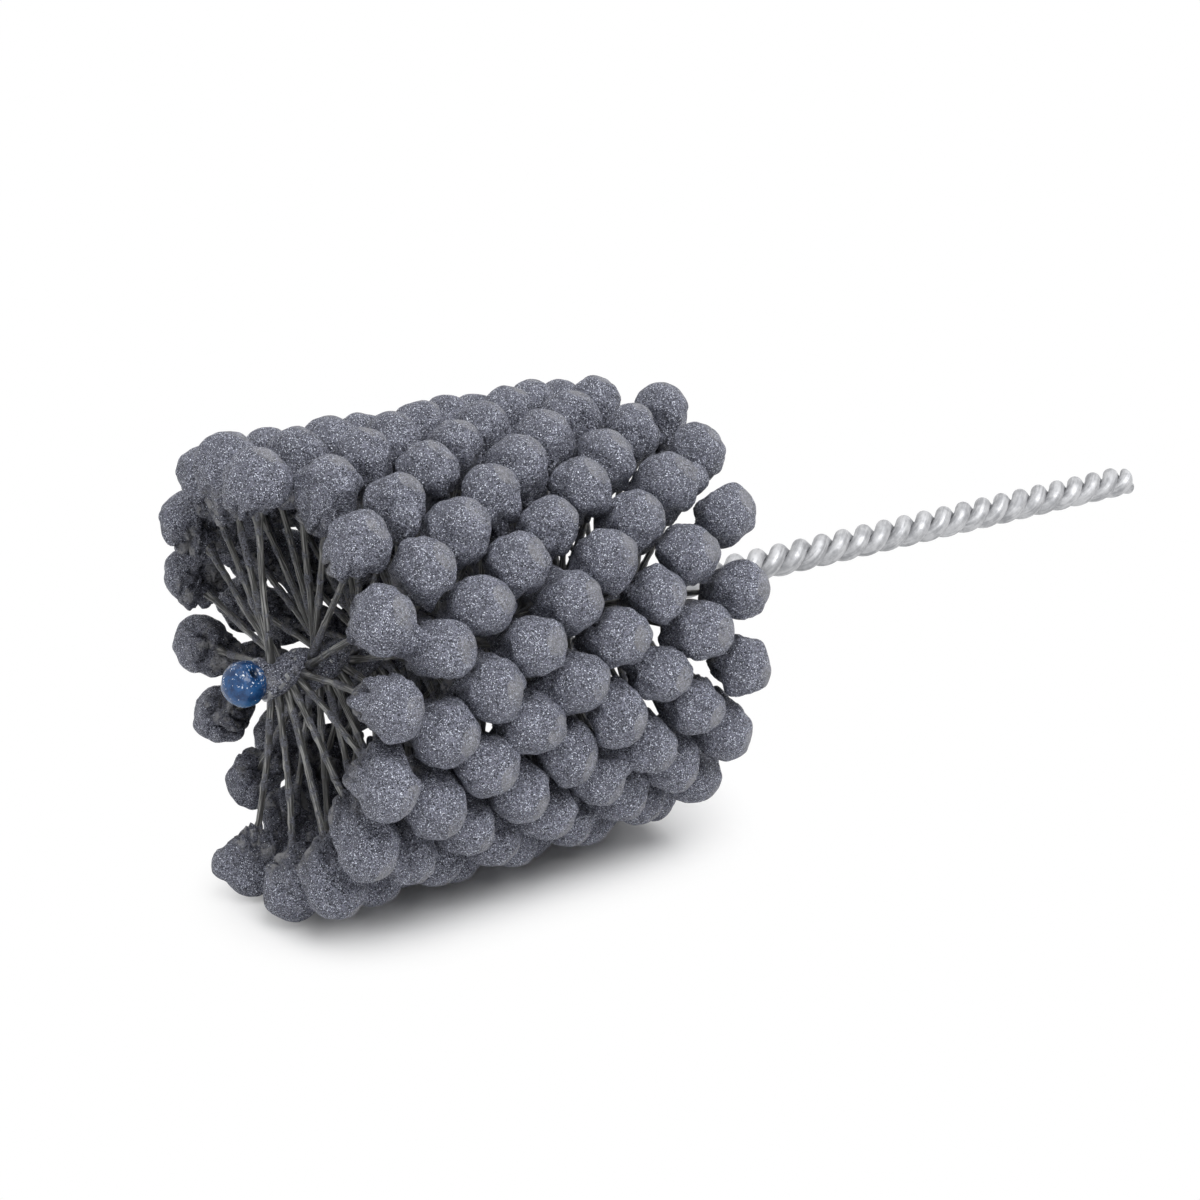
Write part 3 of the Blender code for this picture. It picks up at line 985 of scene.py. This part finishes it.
# %% Recipe: the crust
LOBE_POWER = 1.4
CRUMB_MIDDLE = 0.42
CRUMB_SCALE = 700.0
CRUST_END_RANGE = (0.0, 0.012, 0.82, 1.0)


def round_axis(tree, x, around, radius, lift):
    """Return the place at an angle and a radius round a line along X, lifted to its height."""
    sideways = calc(tree, "MULTIPLY", calc(tree, "COSINE", around), radius)
    upwards = calc(tree, "MULTIPLY_ADD", calc(tree, "SINE", around), radius, lift)
    return joined(tree, x, sideways, upwards)


def crust_surface(tree, given):
    """Return where the points of a unit cylinder lie on the crust."""
    x, y, z = split(tree, position_of(tree))
    share = calc(tree, "ADD", z, 0.5)
    around = calc(tree, "ARCTAN2", y, x)
    gone = calc(tree, "MULTIPLY", share, given["Length"])
    along = calc(tree, "ADD", given["Start"], gone)
    turned = calc(tree, "MULTIPLY", gone, given["Turn Rate"])
    turn = calc(tree, "SUBTRACT", given["Turn at Start"], turned)
    lobe = calc(tree, "ABSOLUTE", calc(tree, "SINE", calc(tree, "SUBTRACT", around, turn)))
    lobe = calc(tree, "POWER", lobe, LOBE_POWER)
    swell = calc(tree, "MULTIPLY", lobe, calc(tree, "SUBTRACT", given["Lobe"], given["Web"]))
    wide = calc(tree, "ADD", given["Web"], swell)
    smooth = round_axis(tree, along, around, wide, 0.0)
    crumbs = noise_at(tree, smooth, CRUMB_SCALE, detail=4.0, roughness=0.6)
    crumbs = calc(tree, "SUBTRACT", crumbs, CRUMB_MIDDLE)
    wide = calc(tree, "MULTIPLY_ADD", crumbs, given["Crumb Height"], wide)
    to_end = calc(tree, "MINIMUM", share, calc(tree, "SUBTRACT", 1.0, share))
    wide = calc(tree, "MULTIPLY", wide, eased(tree, to_end, *CRUST_END_RANGE))
    wide = calc(tree, "MULTIPLY", wide, diagonal(tree, x, y))
    return round_axis(tree, along, around, wide, given["Axis Height"])


# %% Build the crust
CRUST_LOBE = 0.0036
CRUST_WEB = 0.0027
CRUST_OVERRUN = 0.0016
CRUST_AROUND = 72
CRUST_ALONG = 240
CRUMB_HEIGHT = 0.0011
NOT_WORN_HALF_NECK = (0.0, 0.5, 0.0)

sizes = {
    "Start": ball_high.x,
    "Length": LAST_FILAMENT_X + CRUST_OVERRUN - ball_high.x,
    "Turn at Start": wire_turn(ball_high.x),
    "Turn Rate": HEAD_RATE,
    "Lobe": CRUST_LOBE,
    "Web": CRUST_WEB,
    "Crumb Height": CRUMB_HEIGHT,
    "Axis Height": AXIS_HEIGHT,
}
crust_tree, given, result = new_tree("core_crust", sizes)
inputs = {"Vertices": CRUST_AROUND, "Side Segments": CRUST_ALONG, "Radius": 1.0, "Depth": 1.0}
tube = add(crust_tree, "GeometryNodeMeshCylinder", inputs, fill_type="TRIANGLE_FAN").outputs["Mesh"]
skin = moved(crust_tree, tube, crust_surface(crust_tree, given))
# The crust takes half the neck mark, so it gets half the neck's painted shade and fewer painted glints,
# and some neck dust and folds.
skin = stored(crust_tree, skin, "marks", NOT_WORN_HALF_NECK)
whole = add(crust_tree, "GeometryNodeRealizeInstances", {0: skin}).outputs[0]
crust_tree.links.new(finished(crust_tree, whole, abrasive), result.inputs[0])
crust = made("core_crust", bpy.data.meshes.new("core_crust"), crust_tree, sizes)
print("crust:", len(crust.data.vertices), "vertices")

# %% [markdown]
# ## The tip ball
# A drop of glossy blue resin covers the wires' front ends, so that they can't score the bore. Its
# blue is cloudy, and low down it looks lighter, because light passes through the resin there. Glass
# with a clouded inside would take much longer to render for a ball this small, so the colour is
# blended with a paler one instead.

# %% Colour the blue resin
RESIN_DEEP = (0.007, 0.036, 0.115, 1)
RESIN_LIGHT = (0.024, 0.100, 0.270, 1)
CLOUD_SCALE = 650.0
CLOUD_RANGE = (0.35, 0.68)
RESIN_GLOW = (0.045, 0.190, 0.420, 1)
GLOW_SHARE = 0.75
GLOW_DEPTH = 0.3
RESIN_SPECULAR = 0.40
RESIN_ROUGHNESS_RANGE = (0.35, 0.7, 0.08, 0.20)
RESIN_WAVES = 900.0
RESIN_WAVE_DEPTH = 0.00025

blue_resin, tree, shader = new_material("blue_resin")
place = object_place(tree)
from_centre = split(tree, vector_calc(tree, "SUBTRACT", place, BALL_CENTRE))
height = from_centre[2]
cloud = noise_at(tree, place, CLOUD_SCALE, detail=4.0, roughness=0.6)
colour = mixed(tree, eased(tree, cloud, *CLOUD_RANGE), RESIN_DEEP, RESIN_LIGHT)
below = eased(tree, height, -BALL_RADIUS, -GLOW_DEPTH * BALL_RADIUS, GLOW_SHARE, 0.0)
colour = mixed(tree, below, colour, RESIN_GLOW)
feed(tree, shader.inputs["Roughness"], eased(tree, cloud, *RESIN_ROUGHNESS_RANGE))
shader.inputs["Specular IOR Level"].default_value = RESIN_SPECULAR
bumped(tree, shader, noise_at(tree, place, RESIN_WAVES), RESIN_WAVE_DEPTH)
print("the glow ends", round(GLOW_DEPTH * BALL_RADIUS * 1000, 1), "mm below the ball's centre")

# %% [markdown]
# ## Painted glints, the pit and the collar
# Small pale specks, more of them near the top, are painted glints of the lamps on the uneven gloss.
# They are the peaks of a fine noise, cut off at a level that falls with height. A larger bubble broke
# open near the crust and left a pit, whose dark inside is painted shade. At the back a collar of grit
# from the crust sticks to the resin. Each is one more colour laid over the blue.

# %% Add the painted glints, the pit's painted shade and the collar
GLINT_SPECK_SCALE = 2700.0
GLINT_SPECK_EDGE = 40.0
GLINT_SPECKS_BY_HEIGHT = (-0.0012, 0.0024, 0.73, 0.640)
GLINT_SPECKS_BY_CLOUD = (0.42, 0.56, 0.07, -0.01)
PAINTED_BALL_GLINT_COLOUR = (0.66, 0.75, 0.88, 1)
PIT_SHADE_COLOUR = (0.004, 0.010, 0.024, 1)
PIT_WAY = Vector((0.27, -0.67, 0.70)).normalized()
PIT_SIZE = 0.0011
PIT_FLOOR = 0.6
COLLAR_RANGE = (0.0012, 0.0026)
COLLAR_CRUMBS = 1500.0
COLLAR_CRUMB_RANGE = (0.48, 0.56)

# Painted glints: pale specks, more of them towards the top, stand in for the lamps caught on the gloss.
least = eased(tree, height, *GLINT_SPECKS_BY_HEIGHT)
least = calc(tree, "ADD", least, eased(tree, cloud, *GLINT_SPECKS_BY_CLOUD))
painted_ball_glint = noise_at(tree, place, GLINT_SPECK_SCALE, detail=1.0)
painted_ball_glint = calc(tree, "MULTIPLY", calc(tree, "SUBTRACT", painted_ball_glint, least), GLINT_SPECK_EDGE)
painted_ball_glint = calc(tree, "MINIMUM", calc(tree, "MAXIMUM", painted_ball_glint, 0.0), 1.0)
colour = mixed(tree, painted_ball_glint, colour, PAINTED_BALL_GLINT_COLOUR)
# Painted shade: the inside of the pit is coloured near black.
from_pit = measured(tree, "DISTANCE", place, BALL_CENTRE + PIT_WAY * BALL_RADIUS)
pit_shade = eased(tree, from_pit, PIT_SIZE * PIT_FLOOR, PIT_SIZE, 1.0, 0.0)
colour = mixed(tree, pit_shade, colour, PIT_SHADE_COLOUR)
collar = eased(tree, from_centre[0], *COLLAR_RANGE)
crumb = noise_at(tree, place, COLLAR_CRUMBS, detail=3.0, roughness=0.6)
crumb = eased(tree, crumb, *COLLAR_CRUMB_RANGE)
grit = mixed(tree, grains(tree, place)[0], GRAIN_DARK, GRAIN_PALE)
colour = mixed(tree, calc(tree, "MULTIPLY", collar, crumb), colour, grit)
feed(tree, shader.inputs["Base Color"], colour)
print("blue resin has", len(tree.nodes), "nodes")

# %% [markdown]
# ## The ball's shape
# The drop set slightly uneven. The ball is a fine sphere whose points are moved a little by noise and
# pushed in at the pit, each along its own direction from the ball's centre. It is swelled a little
# over its solid, and set back by as much, so that its front stays where the solid's is.

# %% Model the tip ball
BALL_SEGMENTS = 64
BALL_RINGS = 48
BALL_WAVE = 0.00010
BALL_WAVE_SCALE = 2.2
BALL_SWELL = 1.05
PIT_DEPTH = 0.0009
PIT_NEAR = 0.93
PIT_POWER = 1.5

bm = bmesh.new()
bmesh.ops.create_uvsphere(bm, u_segments=BALL_SEGMENTS, v_segments=BALL_RINGS, radius=1.0)
for vertex in bm.verts:
    way = vertex.co.normalized()
    wave = noise.fractal(way * BALL_WAVE_SCALE, 1.0, 2.0, 3) * BALL_WAVE
    near_pit = min(max((way.dot(PIT_WAY) - PIT_NEAR) / (1 - PIT_NEAR), 0.0), 1.0)
    reach = BALL_RADIUS * BALL_SWELL - BALL_WAVE + wave - PIT_DEPTH * near_pit**PIT_POWER
    vertex.co = BALL_CENTRE + way * reach
    vertex.co.x += BALL_RADIUS * (BALL_SWELL - 1)
ball_mesh = bpy.data.meshes.new("resin_tip_ball")
bm.to_mesh(ball_mesh)
bm.free()
ball_mesh.shade_smooth()
ball_mesh.materials.append(blue_resin)
ball = bpy.data.objects.new("resin_tip_ball", ball_mesh)
bpy.context.scene.collection.objects.link(ball)
print("tip ball:", len(ball_mesh.vertices), "vertices")

# %% [markdown]
# ## Joining the looks to the frame
# Every new piece rides on the hone's one body and stands for the imported node that it covers, which
# is hidden. The crust covers no node: it is the resin skin on the wires.

# %% Ride and replace
for name, piece in dressed_pairs.items():
    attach(piece, "root")
    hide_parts(name)
for name, piece in wires.items():
    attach(piece, "root")
    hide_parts(name)
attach(ball, "root")
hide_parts("tip_ball")
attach(crust, "root")

# %% [markdown]
# ## The studio
# The hone lies on a white sweep. A very large soft lamp shines from above the hone's long side, on
# the camera's right, and a weaker one from overhead. Sun lamps with a wide angle stand for softboxes:
# their light doesn't fall off, so the floor is equally bright everywhere. The camera sees the floor
# white, while it throws a little less light back. Only the shadow close under the head is kept, so
# the floor is plain white beyond it. The world is white to the camera and in reflections only.

# %% Build the floor
FLOOR_SIZE = 8.0
FLOOR_SEEN = 1.0
FLOOR_BOUNCE = 0.92
FLOOR_ROUGHNESS = 0.9
SHADOW_MIDDLE_X = -0.0515
SHADOW_HALF_LENGTH = 0.0270
SHADOW_MIDDLE_Y = -0.003
SHADOW_KEPT = 0.011
SHADOW_GONE = 0.032

bpy.context.scene.view_settings.view_transform = "Standard"

floor_mesh = bpy.data.meshes.new("floor")
half = FLOOR_SIZE / 2
corners = [(-half, -half, 0), (half, -half, 0), (half, half, 0), (-half, half, 0)]
floor_mesh.from_pydata(corners, [], [(0, 1, 2, 3)])
floor = bpy.data.objects.new("floor", floor_mesh)
bpy.context.scene.collection.objects.link(floor)
paper, tree, shader = new_material("white_paper")
seen = add(tree, "ShaderNodeLightPath").outputs["Is Camera Ray"]
floor_place = split(tree, object_place(tree))
beside = calc(tree, "ABSOLUTE", calc(tree, "SUBTRACT", floor_place[0], SHADOW_MIDDLE_X))
beside = calc(tree, "MAXIMUM", calc(tree, "SUBTRACT", beside, SHADOW_HALF_LENGTH), 0.0)
across = calc(tree, "SUBTRACT", floor_place[1], SHADOW_MIDDLE_Y)
away = diagonal(tree, beside, across)
whitened = calc(tree, "MULTIPLY", eased(tree, away, SHADOW_KEPT, SHADOW_GONE), seen)
seen_colour = (FLOOR_SEEN, FLOOR_SEEN, FLOOR_SEEN, 1)
bounce_colour = (FLOOR_BOUNCE, FLOOR_BOUNCE, FLOOR_BOUNCE, 1)
feed(tree, shader.inputs["Base Color"], mixed(tree, seen, bounce_colour, seen_colour))
shader.inputs["Roughness"].default_value = FLOOR_ROUGHNESS
shader.inputs["Specular IOR Level"].default_value = 0.0
glow = add(tree, "ShaderNodeEmission", {"Color": (1, 1, 1, 1), "Strength": 1.0}).outputs[0]
blend = add(tree, "ShaderNodeMixShader", {0: whitened, 1: shader.outputs[0], 2: glow}).outputs[0]
tree.links.new(blend, tree.nodes["Material Output"].inputs["Surface"])
floor_mesh.materials.append(paper)

# %% Light the studio
WORLD_LIGHT = 0.34

world = bpy.data.worlds.new("studio")
bpy.context.scene.world = world
world.use_nodes = True
tree = world.node_tree
seen = add(tree, "ShaderNodeLightPath").outputs
direct = calc(tree, "MAXIMUM", seen["Is Camera Ray"], seen["Is Glossy Ray"])
direct = calc(tree, "MAXIMUM", direct, seen["Is Transmission Ray"])
strength = calc(tree, "MULTIPLY_ADD", direct, 1.0 - WORLD_LIGHT, WORLD_LIGHT)
feed(tree, tree.nodes["Background"].inputs["Color"], (1, 1, 1, 1))
feed(tree, tree.nodes["Background"].inputs["Strength"], strength)


def add_softbox(name, way, spread, strength):
    """Add a distant soft lamp that shines from the given direction."""
    lamp = bpy.data.objects.new(name, bpy.data.lights.new(name, "SUN"))
    lamp.data.energy = strength
    lamp.data.angle = math.radians(spread)
    lamp.rotation_mode = "QUATERNION"
    lamp.rotation_quaternion = Vector(way).to_track_quat("Z", "Y")
    bpy.context.scene.collection.objects.link(lamp)


add_softbox("key", way=(0.0, -0.57, 0.81), spread=40, strength=2.25)
add_softbox("overhead", way=(0.15, 0.20, 1.0), spread=60, strength=0.65)
